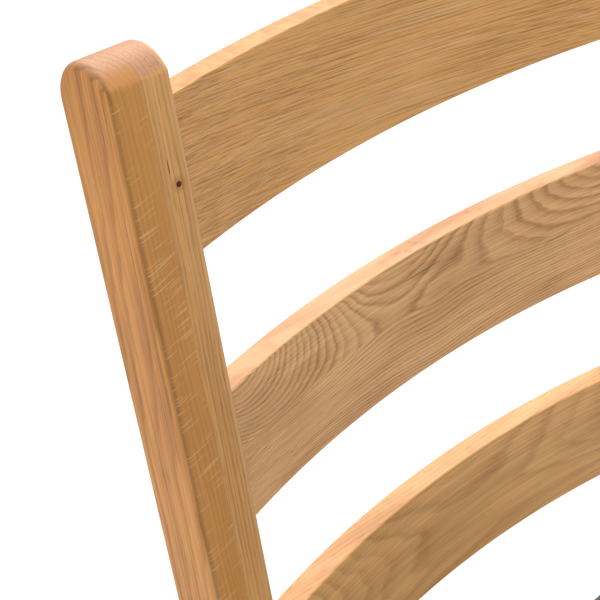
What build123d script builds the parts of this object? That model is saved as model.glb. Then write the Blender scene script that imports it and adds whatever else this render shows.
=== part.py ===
from build123d import *
import os
from math import cos, radians, sin, tan

# Ladder-back dining chair: solid oak frame, three curved back slats, upholstered leather seat.
# Millimetres, +Z up. The chair faces -Y, and +X is on the right when it is seen from the front.
# The origin is on the floor, at the middle of the chair's bounding box.

# ---- Overall ---------------------------------------------------------------------------------
OVERALL_WIDTH = 440.0       # outer face to outer face of the back posts
OVERALL_DEPTH = 559.0       # front edge of the seat pad to the rearmost point of the upper slat
OVERALL_HEIGHT = 975.0      # floor to the crown of the back posts
BACK_LEAN = 12.3            # degrees that the back leans behind upright
EDGE_ROUND = 4.0            # rounding of the long edges of posts and legs

# ---- Back posts: rear leg and back upright in one piece --------------------------------------
POST_WIDTH = 37.0           # along X
POST_DEPTH = 40.6           # front face to back face
CROWN_RADIUS = 21.2         # the rounded top, seen from the side
CROWN_SLOPE = 53.3          # degrees of the short flat between the crown and the front face
CROWN_FRONT_ROUND = 5.4     # rounding where that flat meets the front face
KNEE_Z = 447.0              # height where the leaning upright meets the upright stretch
HOCK_Z = 330.0              # height where the upright stretch meets the raked rear leg
KNEE_RADIUS = 280.0
HOCK_RADIUS = 420.0
REAR_RAKE = 8.0             # degrees that the rear leg kicks back below the hock
REAR_FOOT_DEPTH = 33.0
FOOT_CORNER_ROUND = 1.0

# ---- Back slats, measured along the post, down from its crown --------------------------------
SLAT_DROPS = (26.3, 186.2, 344.3)       # top edges of the upper, middle and lower slat
SLAT_HEIGHTS = (80.3, 78.9, 76.1)
SLAT_THICKNESS = 16.4
SLAT_BOW = 27.7             # how far the middle of a slat lies behind its ends
SLAT_INSET = 5.7            # from the post's front face to the slat's front face, at the post
SLAT_EDGE_CHAMFER = 1.0
SLAT_TENON_LENGTH = 16.0
SLAT_TENON_THICKNESS = 9.0
SLAT_TENON_SHOULDER = 8.0   # the tenon is this much shorter than the slat at its top and bottom

# ---- Front legs ------------------------------------------------------------------------------
LEG_SIDE = 40.0
LEG_FOOT_SIDE = 31.0
LEG_SETBACK = 6.0           # from the front edge of the seat pad to the leg's front face

# ---- Seat rails ------------------------------------------------------------------------------
RAIL_TOP_Z = 430.0
RAIL_HEIGHT = 62.0
RAIL_THICKNESS = 20.0
RAIL_REVEAL = 5.0           # front, side rails set in from the outer faces of the legs
REAR_RAIL_REVEAL = 9.6
RAIL_EDGE_ROUND = 1.5
DOWEL_DIAMETER = 8.0
DOWEL_DEPTH = 17.0          # in each of the two pieces that a dowel joins
DOWEL_HEIGHTS = (16.0, 46.0)            # above the bottom of the rail

# ---- Corner blocks and their screws ----------------------------------------------------------
BLOCK_REACH = 70.0          # along each rail
BLOCK_HEIGHT = 26.0
BLOCK_BELOW_RAIL_TOP = 3.0
BLOCK_LEG_GAP = 1.0
BLOCK_SCREW_OFFSET = 42.0   # from the corner of the rails, along each rail
SCREW_DIAMETER = 4.0
SCREW_HEAD_DIAMETER = 8.0
SCREW_HEAD_HEIGHT = 2.5
SCREW_RECESS = (4.4, 0.9, 1.2)          # length and width of the cross, depth
RAIL_SCREW_BITE = 13.0      # length of a block screw inside the rail
SEAT_SCREW_OFFSET = 24.0    # from the corner of the rails, both ways
SEAT_SCREW_BITE = 9.0       # length of a seat screw inside the plywood
SCREW_COUNTERBORE = 6.0

# ---- Stretchers ------------------------------------------------------------------------------
STRETCHER_Z = 165.0         # height of their centre lines
STRETCHER_HEIGHT = 32.0
STRETCHER_THICKNESS = 18.0
STRETCHER_EDGE_ROUND = 2.5
STRETCHER_TENON = (9.0, 20.0)           # thickness, height
STRETCHER_TENON_LENGTH = 15.0
CROSS_TENON_LENGTH = 10.0
CROSS_STRETCHER_Y = -48.0

# ---- Upholstered seat ------------------------------------------------------------------------
SEAT_EDGE_Z = 470.0         # top of the pad at its rim
SEAT_CROWN = 9.0            # rise of the pad from its rim to its middle
SEAT_SIDE_OVERHANG = -2.0   # the pad's sides, past the outer faces of the legs
SEAT_REAR_SETBACK = 11.5    # from the rear faces of the posts to the rear edge of the pad
SEAT_CORNER_ROUND = 14.0    # front corners, seen from above
SEAT_NOTCH_ROUND_SHARE = 1 / 3          # the notches' corners, as a share of the front corners
SEAT_EDGE_ROUND = 15.0
SEAT_POST_GAP = 2.0         # between the pad's rear notches and the back posts
COVER_THICKNESS = 1.4
COVER_HEM = 50.0            # leather folded under the plywood
PLYWOOD_THICKNESS = 12.0
DUST_COVER_THICKNESS = 0.6
DUST_COVER_GAP = 2.0        # from the dust cover to the legs
STAPLE_SIZE = (10.0, 1.2, 0.6)          # crown length, wire width, crown thickness
STAPLE_LEG = 6.0
STAPLES_PER_SIDE = 6
STAPLE_SPACING = 52.0
STAPLE_MARGIN = 5.0         # from the edge of the dust cover

# ---- Floor glides ----------------------------------------------------------------------------
GLIDE_DIAMETER = 20.0
GLIDE_HEIGHT = 4.0
GLIDE_ROUND = 1.2
NAIL_DIAMETER = 2.6
NAIL_LENGTH = 19.0
NAIL_HEAD = (6.4, 1.4)      # diameter, thickness
NAIL_RECESS = 1.4           # the nail's head lies this far up inside the glide

# ---- Making ----------------------------------------------------------------------------------
TINY = 0.01                 # lengths under this count as nothing
OVERSHOOT = 1.0             # how far a cutting form passes the face that it cuts
CROWN_ROOT = 0.5            # how deep the pad's crown is set into the flat top under it

# ---- Worked-out places -----------------------------------------------------------------------
lean = radians(BACK_LEAN)
slope = radians(CROWN_SLOPE)
half_width = OVERALL_WIDTH / 2
post_inner_x = half_width - POST_WIDTH

# The datum of the back is the point of the post's front face, drawn on upwards, that is level
# with its crown. The rearmost point of the chair is the top rear edge of the upper slat.
crown_back = POST_DEPTH - CROWN_RADIUS
datum_z = OVERALL_HEIGHT - CROWN_RADIUS * (1 - cos(lean)) + crown_back * sin(lean)
slat_back = SLAT_INSET + SLAT_BOW + SLAT_THICKNESS
slat_top = SLAT_DROPS[0] + SLAT_EDGE_CHAMFER
datum_y = OVERALL_DEPTH / 2 - slat_back * cos(lean) + slat_top * sin(lean)
# In the back's own frame, x runs across, y backwards through the slats and z up the posts.
back_frame = Plane(origin=(0, datum_y, datum_z), x_dir=(1, 0, 0), z_dir=(0, sin(lean), cos(lean)))

post_front_y = datum_y - (datum_z - KNEE_Z) * tan(lean)
post_back_y = post_front_y + POST_DEPTH
seat_rear_y = post_back_y - SEAT_REAR_SETBACK

leg_front_y = -OVERALL_DEPTH / 2 + LEG_SETBACK
leg_back_y = leg_front_y + LEG_SIDE
leg_inner_x = half_width - LEG_SIDE

rail_bottom_z = RAIL_TOP_Z - RAIL_HEIGHT
side_rail_x = half_width - RAIL_REVEAL - RAIL_THICKNESS / 2
side_rail_inner_x = side_rail_x - RAIL_THICKNESS / 2
front_rail_y = leg_front_y + RAIL_REVEAL + RAIL_THICKNESS / 2
rear_rail_y = post_back_y - REAR_RAIL_REVEAL - RAIL_THICKNESS / 2

stretcher_low = STRETCHER_Z - STRETCHER_HEIGHT / 2
stretcher_high = STRETCHER_Z + STRETCHER_HEIGHT / 2

plywood_z = RAIL_TOP_Z + COVER_THICKNESS
foam_z = plywood_z + PLYWOOD_THICKNESS
block_top_z = RAIL_TOP_Z - BLOCK_BELOW_RAIL_TOP
dust_x = leg_inner_x - DUST_COVER_GAP
dust_front_y = leg_back_y + DUST_COVER_GAP
dust_rear_y = post_front_y - DUST_COVER_GAP

SIDES = (("left", -1), ("right", 1))


# ---- Small helpers ---------------------------------------------------------------------------
def block(x0, x1, y0, y1, z0, z1):
    """A box between two opposite corners."""
    return Pos((x0 + x1) / 2, (y0 + y1) / 2, (z0 + z1) / 2) * Box(abs(x1 - x0), abs(y1 - y0), abs(z1 - z0))


def rod(start, direction, radius, length):
    """A round rod from a start point along a direction."""
    return Plane(origin=start, z_dir=direction) * extrude(Circle(radius), length)


def mirrored(shape, side):
    """A shape made for the right (+X) side, moved to the side asked for."""
    return shape if side > 0 else mirror(shape, about=Plane.YZ)


def along(shape, axis):
    """The edges of a shape that run along an axis."""
    return shape.edges().filter_by(axis)


def back_point(drop, behind):
    """A point (y, z) of the back: a drop down the post from the crown, behind its front face."""
    point = back_frame.from_local_coords((0, behind, -drop))
    return (point.Y, point.Z)


# ---- Back posts ------------------------------------------------------------------------------
def post_blank():
    """The right-hand rear leg and back upright before it is mortised."""
    front_drop = CROWN_RADIUS + crown_back * tan(slope) - CROWN_RADIUS / cos(slope)
    foot_z = GLIDE_HEIGHT
    foot_y = post_front_y + (HOCK_Z - foot_z) * tan(radians(REAR_RAKE))
    knee_shift = POST_DEPTH * tan(lean / 2)
    profile = [
        (foot_y, foot_z),
        (post_front_y, HOCK_Z),
        (post_front_y, KNEE_Z),
        back_point(front_drop, 0),
        back_point(front_drop - POST_DEPTH * tan(slope), POST_DEPTH),
        (post_back_y, KNEE_Z - knee_shift),
        (post_back_y, HOCK_Z),
        (foot_y + REAR_FOOT_DEPTH, foot_z),
    ]
    radii = [FOOT_CORNER_ROUND, HOCK_RADIUS, KNEE_RADIUS, CROWN_FRONT_ROUND, CROWN_RADIUS,
             KNEE_RADIUS + POST_DEPTH, HOCK_RADIUS - POST_DEPTH, FOOT_CORNER_ROUND]
    outline = Plane.YZ * make_face(FilletPolyline(*profile, radius=radii, close=True))
    post = Pos(post_inner_x, 0, 0) * extrude(outline, POST_WIDTH, dir=(1, 0, 0))
    rim = post.edges().filter_by(lambda e: e.bounding_box().size.X < TINY)
    soft = rim.filter_by(lambda e: e.bounding_box().max.Z > foot_z + TINY)
    return fillet(soft, EDGE_ROUND)


# ---- Slats -----------------------------------------------------------------------------------
def slat_arc(thickness, half_span, drop, height):
    """A curved board of the back, centred on the slat's thickness, between two X limits."""
    bow_radius = (post_inner_x ** 2 + SLAT_BOW ** 2) / (2 * SLAT_BOW)
    centre_y = SLAT_INSET + SLAT_BOW - bow_radius
    mid_radius = bow_radius + SLAT_THICKNESS / 2
    ring = Circle(mid_radius + thickness / 2) - Circle(mid_radius - thickness / 2)
    window = Pos(0, bow_radius, 0) * Rectangle(2 * half_span, bow_radius)
    board = (Pos(0, centre_y, 0) * ring) & (Pos(0, centre_y, 0) * window)
    return Pos(0, 0, -drop - height) * extrude(board, height)


def slat_tenons(drop, height):
    """The two tongues of a slat, outside the inner faces of the posts."""
    reach = post_inner_x + SLAT_TENON_LENGTH
    tongue = slat_arc(SLAT_TENON_THICKNESS, reach, drop + SLAT_TENON_SHOULDER,
                      height - 2 * SLAT_TENON_SHOULDER)
    tongue -= block(-post_inner_x, post_inner_x, -POST_DEPTH, 2 * POST_DEPTH, -drop - height, -drop)
    return back_frame.location * tongue


def slat(drop, height):
    """One curved slat with its tenons."""
    board = slat_arc(SLAT_THICKNESS, post_inner_x, drop, height)
    board = chamfer(board.edges().filter_by(GeomType.CIRCLE), SLAT_EDGE_CHAMFER)
    return back_frame.location * board + slat_tenons(drop, height)


# ---- Legs and rails --------------------------------------------------------------------------
def leg_section(side, z):
    """The square section of the right-hand front leg at a height, flush with its outer faces."""
    return Pos(half_width - side / 2, leg_front_y + side / 2, z) * Rectangle(side, side)


def leg_blank():
    """The right-hand front leg: square at the rails, tapering on its two inner faces."""
    waist = leg_section(LEG_SIDE, rail_bottom_z)
    foot = leg_section(LEG_FOOT_SIDE, GLIDE_HEIGHT)
    leg = extrude(waist, RAIL_HEIGHT) + loft([foot.face(), waist.face()])
    upright = leg.edges().filter_by(lambda e: e.bounding_box().size.Z > RAIL_HEIGHT / 2)
    return fillet(upright, EDGE_ROUND)


def long_board(x0, x1, y0, y1, z0, z1, axis, rounding):
    """A straight rail or stretcher with its long edges rounded."""
    board = block(x0, x1, y0, y1, z0, z1)
    return fillet(along(board, axis), rounding)


def cross_rail(y, end_x):
    """A rail across the chair, centred on y, between legs whose inner faces are at end_x."""
    half = RAIL_THICKNESS / 2
    return long_board(-end_x, end_x, y - half, y + half, rail_bottom_z, RAIL_TOP_Z, Axis.X,
                      RAIL_EDGE_ROUND)


def side_rail():
    """The right-hand side rail, between the front leg and the back post."""
    return long_board(side_rail_inner_x, side_rail_x + RAIL_THICKNESS / 2, leg_back_y, post_front_y,
                      rail_bottom_z, RAIL_TOP_Z, Axis.Y, RAIL_EDGE_ROUND)


def dowels(side):
    """The eight dowels of one side: two at each end of its rails."""
    pins = []
    for height in DOWEL_HEIGHTS:
        z = rail_bottom_z + height
        for face_x, y in ((leg_inner_x, front_rail_y), (post_inner_x, rear_rail_y)):
            pins.append(rod((side * (face_x - DOWEL_DEPTH), y, z), (side, 0, 0),
                            DOWEL_DIAMETER / 2, 2 * DOWEL_DEPTH))
        for face_y in (leg_back_y, post_front_y):
            pins.append(rod((side * side_rail_x, face_y - DOWEL_DEPTH, z), (0, 1, 0),
                            DOWEL_DIAMETER / 2, 2 * DOWEL_DEPTH))
    return pins


# ---- Corner blocks and screws ----------------------------------------------------------------
def corner_of(end, side):
    """The inner corner of the rails, the way into the seat from it, and the leg's intrusion."""
    if end == "front":
        corner = (side * side_rail_inner_x, front_rail_y + RAIL_THICKNESS / 2)
        return corner, (-side, 1), (side_rail_inner_x - leg_inner_x, leg_back_y - corner[1])
    corner = (side * side_rail_inner_x, rear_rail_y - RAIL_THICKNESS / 2)
    return corner, (-side, -1), (side_rail_inner_x - post_inner_x, corner[1] - post_front_y)


def corner_block(end, side):
    """A triangular block between two rails, notched round the leg."""
    (cx, cy), (ix, iy), (leg_x, leg_y) = corner_of(end, side)
    notch_x = leg_x + BLOCK_LEG_GAP
    notch_y = leg_y + BLOCK_LEG_GAP
    outline = [(notch_x, 0), (BLOCK_REACH, 0), (0, BLOCK_REACH), (0, notch_y), (notch_x, notch_y)]
    points = [(cx + ix * a, cy + iy * b) for a, b in outline]
    face = make_face(Polyline(*points, close=True))
    return Pos(0, 0, block_top_z - BLOCK_HEIGHT) * extrude(face, BLOCK_HEIGHT, dir=(0, 0, 1))


def screw_form(start, direction, length):
    """The outer form of a countersunk wood screw, from the top of its head along a direction."""
    plane = Plane(origin=start, z_dir=direction)
    head = loft([(plane * Circle(SCREW_HEAD_DIAMETER / 2)).face(),
                 (plane.offset(SCREW_HEAD_HEIGHT) * Circle(SCREW_DIAMETER / 2)).face()])
    return head + rod(start, direction, SCREW_DIAMETER / 2, length)


def with_recess(form, start, direction):
    """A screw with the cross recess in its head."""
    arm, width, depth = SCREW_RECESS
    cross = Rectangle(arm, width) + Rectangle(width, arm)
    return form - Plane(origin=start, z_dir=direction) * extrude(cross, depth)


def block_screws(end, side):
    """The two screws that hold a corner block to its rails, and the form that they need."""
    (cx, cy), (ix, iy), _ = corner_of(end, side)
    z = block_top_z - BLOCK_HEIGHT / 2
    head_at = BLOCK_REACH - BLOCK_SCREW_OFFSET - SCREW_COUNTERBORE
    length = head_at + RAIL_SCREW_BITE
    screws, holes = [], []
    for start, way in (
            ((cx + ix * BLOCK_SCREW_OFFSET, cy + iy * head_at, z), (0, -iy, 0)),
            ((cx + ix * head_at, cy + iy * BLOCK_SCREW_OFFSET, z), (-ix, 0, 0))):
        form = screw_form(start, way, length)
        bore = rod(start, tuple(-c for c in way), SCREW_HEAD_DIAMETER / 2, BLOCK_REACH)
        screws.append(with_recess(form, start, way))
        holes += [form, bore]
    return screws, holes


def seat_screw(end, side):
    """The upright screw through a corner block into the plywood, and the form that it needs."""
    (cx, cy), (ix, iy), _ = corner_of(end, side)
    x, y = cx + ix * SEAT_SCREW_OFFSET, cy + iy * SEAT_SCREW_OFFSET
    bottom = block_top_z - BLOCK_HEIGHT
    start = (x, y, bottom + SCREW_COUNTERBORE)
    length = plywood_z + SEAT_SCREW_BITE - start[2]
    form = screw_form(start, (0, 0, 1), length)
    bore = rod(start, (0, 0, -1), SCREW_HEAD_DIAMETER / 2, BLOCK_HEIGHT)
    return with_recess(form, start, (0, 0, 1)), [form, bore]


# ---- Stretchers ------------------------------------------------------------------------------
def side_stretcher(leg, post):
    """The right-hand side stretcher: shoulders cut to the legs, and a tenon at each end."""
    half = STRETCHER_THICKNESS / 2
    board = long_board(side_rail_x - half, side_rail_x + half, leg_back_y - LEG_SIDE / 2,
                       post_back_y + POST_DEPTH / 2, stretcher_low, stretcher_high, Axis.Y,
                       STRETCHER_EDGE_ROUND)
    board = largest(board - leg - post)
    box = board.bounding_box()
    thick, high = STRETCHER_TENON
    tongue = block(side_rail_x - thick / 2, side_rail_x + thick / 2,
                   box.min.Y - STRETCHER_TENON_LENGTH, box.max.Y + STRETCHER_TENON_LENGTH,
                   STRETCHER_Z - high / 2, STRETCHER_Z + high / 2)
    return board + tongue


def cross_stretcher():
    """The stretcher between the two side stretchers, with a tenon at each end."""
    half = STRETCHER_THICKNESS / 2
    end_x = side_rail_x - half
    board = long_board(-end_x, end_x, CROSS_STRETCHER_Y - half, CROSS_STRETCHER_Y + half,
                       stretcher_low, stretcher_high, Axis.X, STRETCHER_EDGE_ROUND)
    thick, high = STRETCHER_TENON
    reach = end_x + CROSS_TENON_LENGTH
    return board + block(-reach, reach, CROSS_STRETCHER_Y - thick / 2, CROSS_STRETCHER_Y + thick / 2,
                         STRETCHER_Z - high / 2, STRETCHER_Z + high / 2)


def largest(shape):
    """The biggest solid of a shape."""
    return max(shape.solids(), key=lambda solid: solid.volume)


# ---- Seat ------------------------------------------------------------------------------------
def seat_outline(inset, rounding):
    """The seat seen from above, inset all round, with rear notches for the back posts."""
    side_x = half_width + SEAT_SIDE_OVERHANG - inset
    front_y = -OVERALL_DEPTH / 2 + inset
    rear_y = seat_rear_y - inset
    notch_x = post_inner_x - SEAT_POST_GAP - inset
    notch_y = post_front_y - SEAT_POST_GAP - inset
    outline = [(side_x, front_y), (side_x, notch_y), (notch_x, notch_y), (notch_x, rear_y),
               (-notch_x, rear_y), (-notch_x, notch_y), (-side_x, notch_y), (-side_x, front_y)]
    notch_round = rounding * SEAT_NOTCH_ROUND_SHARE
    inner_round = notch_round + inset / 2
    one_side = [rounding, notch_round, inner_round, notch_round]
    return make_face(FilletPolyline(*outline, radius=one_side + one_side[::-1], close=True))


def pad_form(inset, z0):
    """The pad's closed form above z0: upright sides, a rounded rim and a crowned top."""
    rim_z = SEAT_EDGE_Z - inset
    body = Pos(0, 0, z0) * extrude(seat_outline(inset, SEAT_CORNER_ROUND - inset), rim_z - z0)
    rim = body.faces().sort_by(Axis.Z)[-1].edges()
    body = fillet(rim, SEAT_EDGE_ROUND - inset)
    half_x = half_width + SEAT_SIDE_OVERHANG - SEAT_EDGE_ROUND
    front_y, rear_y = -OVERALL_DEPTH / 2 + SEAT_EDGE_ROUND, seat_rear_y - SEAT_EDGE_ROUND
    half_y = (rear_y - front_y) / 2
    # The crown is the part of a large ball that stands above the flat top, scaled to the seat.
    ball_radius = (half_x ** 2 + SEAT_CROWN ** 2) / (2 * SEAT_CROWN)
    cap = Pos(0, 0, SEAT_CROWN - ball_radius) * Sphere(ball_radius)
    cap &= block(-half_x, half_x, -half_x, half_x, -CROWN_ROOT, 2 * SEAT_CROWN)
    cap = scale(cap, (1, half_y / half_x, 1))
    return body + Pos(0, (front_y + rear_y) / 2, rim_z) * cap


def dust_cover():
    """The cloth under the seat, inside the legs."""
    return block(-dust_x, dust_x, dust_front_y, dust_rear_y, RAIL_TOP_Z - DUST_COVER_THICKNESS,
                 RAIL_TOP_Z)


def staple(x, y, turn):
    """One staple under the seat: a crown with two legs through the cloths into the plywood."""
    length, width, thick = STAPLE_SIZE
    z = RAIL_TOP_Z - DUST_COVER_THICKNESS - thick
    crown = block(-length / 2, length / 2, -width / 2, width / 2, 0, thick)
    for end in (-1, 1):
        x0 = end * (length / 2 - thick / 2)
        crown += block(x0 - thick / 2, x0 + thick / 2, -width / 2, width / 2, 0, STAPLE_LEG)
    return Pos(x, y, z) * Rot(0, 0, turn) * crown


def staple_row():
    """The staples round the edge of the dust cover."""
    edge_x = dust_x - STAPLE_MARGIN
    front_y, rear_y = dust_front_y + STAPLE_MARGIN, dust_rear_y - STAPLE_MARGIN
    row = []
    for i in range(STAPLES_PER_SIDE):
        step = (i - (STAPLES_PER_SIDE - 1) / 2) * STAPLE_SPACING
        row += [staple(step, front_y, 0), staple(step, rear_y, 0)]
        row += [staple(side * edge_x, (front_y + rear_y) / 2 + step, 90) for side in (-1, 1)]
    return row


# ---- Glides ----------------------------------------------------------------------------------
def glide_places():
    """The middle of each foot: name, x and y."""
    foot_y = post_front_y + (HOCK_Z - GLIDE_HEIGHT) * tan(radians(REAR_RAKE))
    for name, side in SIDES:
        yield "front_" + name, side * (half_width - LEG_FOOT_SIDE / 2), leg_front_y + LEG_FOOT_SIDE / 2
        yield "rear_" + name, side * (half_width - POST_WIDTH / 2), foot_y + REAR_FOOT_DEPTH / 2


def glide(x, y):
    """A round plastic glide under a foot."""
    disc = Pos(x, y, GLIDE_HEIGHT / 2) * Cylinder(GLIDE_DIAMETER / 2, GLIDE_HEIGHT)
    lower_rim = disc.edges().filter_by(GeomType.CIRCLE).sort_by(Axis.Z)[0]
    return fillet(lower_rim, GLIDE_ROUND)


def glide_nail(x, y):
    """The nail that holds a glide: a flat head inside the glide, and a shank up into the leg."""
    head_diameter, head_thick = NAIL_HEAD
    head = rod((x, y, NAIL_RECESS), (0, 0, 1), head_diameter / 2, head_thick)
    return head + rod((x, y, NAIL_RECESS), (0, 0, 1), NAIL_DIAMETER / 2, NAIL_LENGTH)


# ---- Assembly --------------------------------------------------------------------------------
def build():
    """Every node of the chair, by name."""
    nodes = {}

    slats = {"back_slat_upper": 0, "back_slat_middle": 1, "back_slat_lower": 2}
    for name, i in slats.items():
        nodes[name] = slat(SLAT_DROPS[i], SLAT_HEIGHTS[i])

    leg, post = leg_blank(), post_blank()
    stretcher = side_stretcher(leg, post)
    leg -= stretcher
    post -= stretcher
    for drop, height in zip(SLAT_DROPS, SLAT_HEIGHTS):
        post -= slat_tenons(drop, height)
    nodes["cross_stretcher"] = cross_stretcher()
    nodes["front_rail"] = cross_rail(front_rail_y, leg_inner_x)
    nodes["rear_rail"] = cross_rail(rear_rail_y, post_inner_x)
    for name, side in SIDES:
        nodes["back_post_" + name] = mirrored(post, side)
        nodes["front_leg_" + name] = mirrored(leg, side)
        nodes["side_rail_" + name] = mirrored(side_rail(), side)
        nodes["side_stretcher_" + name] = mirrored(stretcher, side) - nodes["cross_stretcher"]

    pins = dowels(-1) + dowels(1)
    nodes["rail_dowels"] = Compound(children=pins)

    # Glides and their nails.
    nails = []
    for name, x, y in glide_places():
        nail = glide_nail(x, y)
        nails.append(nail)
        hole = rod((x, y, 0), (0, 0, 1), NAIL_HEAD[0] / 2, NAIL_RECESS)
        nodes["glide_" + name] = glide(x, y) - nail - hole
    nodes["glide_nails"] = Compound(children=nails)

    # Seat: plywood, foam, leather and dust cover, one inside the other.
    ply_inset = COVER_THICKNESS
    ply_outline = seat_outline(ply_inset, SEAT_CORNER_ROUND - ply_inset)
    plywood = Pos(0, 0, plywood_z) * extrude(ply_outline, PLYWOOD_THICKNESS)
    foam = pad_form(ply_inset, foam_z)
    hem_hole = extrude(seat_outline(COVER_HEM, SEAT_CORNER_ROUND), COVER_THICKNESS + 2 * OVERSHOOT)
    hem_hole = Pos(0, 0, RAIL_TOP_Z - OVERSHOOT) * hem_hole
    cover = pad_form(0, RAIL_TOP_Z) - plywood - foam - hem_hole
    nodes["seat_plywood"] = plywood
    nodes["seat_foam"] = foam
    nodes["seat_cover"] = cover
    nodes["seat_dust_cover"] = dust_cover()

    # Corner blocks, with the screws that hold them and the ones that hold the seat.
    rail_screws, seat_screws, staples = [], [], staple_row()
    for end in ("front", "rear"):
        for name, side in SIDES:
            body = corner_block(end, side)
            screws, holes = block_screws(end, side)
            upright, seat_holes = seat_screw(end, side)
            for cutter in holes + seat_holes:
                body -= cutter
            nodes["corner_block_" + end + "_" + name] = body
            rail_screws += screws
            seat_screws.append(upright)
    nodes["corner_block_screws"] = Compound(children=rail_screws)
    nodes["seat_screws"] = Compound(children=seat_screws)
    nodes["seat_staples"] = Compound(children=staples)

    # Holes for what passes through the wooden and seat pieces.
    for name in ("front_rail", "rear_rail", "side_rail_left", "side_rail_right",
                 "front_leg_left", "front_leg_right", "back_post_left", "back_post_right",
                 "seat_plywood", "seat_dust_cover", "seat_cover"):
        nodes[name] = drilled(nodes[name], pins + nails + rail_screws + seat_screws + staples)
    return nodes


def drilled(shape, cutters):
    """A shape with a hole for each of the solids that pass through it."""
    box = shape.bounding_box()
    for cutter in cutters:
        other = cutter.bounding_box()
        apart = any(a0 > b1 or b0 > a1 for a0, a1, b0, b1 in zip(
            box.min, box.max, other.min, other.max))
        if not apart:
            shape -= cutter
    return shape


def main():
    os.makedirs("parts", exist_ok=True)
    for name, shape in build().items():
        export_step(shape, "parts/" + name + ".step")
        print(name, round(shape.volume))


main()
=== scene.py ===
import bmesh
import bpy
from math import atan2, ceil, cos, pi, radians, sin, sqrt, tan
from mathutils import Euler, Matrix, Vector, noise


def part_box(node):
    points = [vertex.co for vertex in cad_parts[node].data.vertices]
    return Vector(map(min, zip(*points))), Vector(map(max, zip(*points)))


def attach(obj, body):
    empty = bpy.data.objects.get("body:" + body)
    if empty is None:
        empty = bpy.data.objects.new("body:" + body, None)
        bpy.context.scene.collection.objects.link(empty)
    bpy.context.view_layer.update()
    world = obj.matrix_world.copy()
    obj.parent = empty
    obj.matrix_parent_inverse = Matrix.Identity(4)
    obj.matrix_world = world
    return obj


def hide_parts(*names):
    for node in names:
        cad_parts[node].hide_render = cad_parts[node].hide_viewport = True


# Ladder-back dining chair in oak with a dark brown leather seat. Metres, +Z up, the chair faces -Y.
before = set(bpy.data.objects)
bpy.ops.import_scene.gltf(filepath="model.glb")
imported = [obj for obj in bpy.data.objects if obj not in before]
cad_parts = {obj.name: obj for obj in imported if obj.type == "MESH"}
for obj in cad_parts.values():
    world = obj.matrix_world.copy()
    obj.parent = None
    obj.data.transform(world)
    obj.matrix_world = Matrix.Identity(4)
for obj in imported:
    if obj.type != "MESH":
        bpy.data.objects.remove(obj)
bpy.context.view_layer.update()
MM = 0.001
BODY = "root"

# ---- Driving dimensions, the same as the CAD model's -----------------------------------------
BACK_LEAN = radians(12.3)
EDGE_ROUND = 4.0 * MM
POST_DEPTH = 40.6 * MM
CROWN_RADIUS = 21.2 * MM
CROWN_SLOPE = radians(53.3)
CROWN_FRONT_ROUND = 5.4 * MM
KNEE_Z = 447.0 * MM
HOCK_Z = 330.0 * MM
KNEE_RADIUS = 280.0 * MM
HOCK_RADIUS = 420.0 * MM
REAR_RAKE = radians(8.0)
REAR_FOOT_DEPTH = 33.0 * MM
FOOT_CORNER_ROUND = 1.0 * MM
SLAT_DROPS = {"upper": 26.3 * MM, "middle": 186.2 * MM, "lower": 344.3 * MM}
SLAT_HEIGHTS = {"upper": 80.3 * MM, "middle": 78.9 * MM, "lower": 76.1 * MM}
SLAT_THICKNESS = 16.4 * MM
SLAT_BOW = 27.7 * MM
SLAT_INSET = 5.7 * MM
SLAT_EDGE = 1.2 * MM
SLAT_TENON_LENGTH = 16.0 * MM
SLAT_TENON_THICKNESS = 9.0 * MM
SLAT_TENON_SHOULDER = 8.0 * MM

# ---- Places worked out from the frame --------------------------------------------------------
post_low, post_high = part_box("back_post_right")
_, slat_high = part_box("back_slat_upper")
half_width = post_high.x
post_inner_x = post_low.x
glide_top_z = post_low.z
crown_back = POST_DEPTH - CROWN_RADIUS
datum_z = post_high.z - CROWN_RADIUS * (1 - cos(BACK_LEAN)) + crown_back * sin(BACK_LEAN)
slat_rear = SLAT_INSET + SLAT_BOW + SLAT_THICKNESS
slat_top = SLAT_DROPS["upper"] + 1.0 * MM
datum_y = slat_high.y - slat_rear * cos(BACK_LEAN) + slat_top * sin(BACK_LEAN)
back_up = Vector((0, sin(BACK_LEAN), cos(BACK_LEAN)))
back_rearward = Vector((0, cos(BACK_LEAN), -sin(BACK_LEAN)))
datum = Vector((0, datum_y, datum_z))
post_front_y = datum_y - (datum_z - KNEE_Z) * tan(BACK_LEAN)
post_back_y = post_front_y + POST_DEPTH
bow_radius = (post_inner_x ** 2 + SLAT_BOW ** 2) / (2 * SLAT_BOW)


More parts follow.
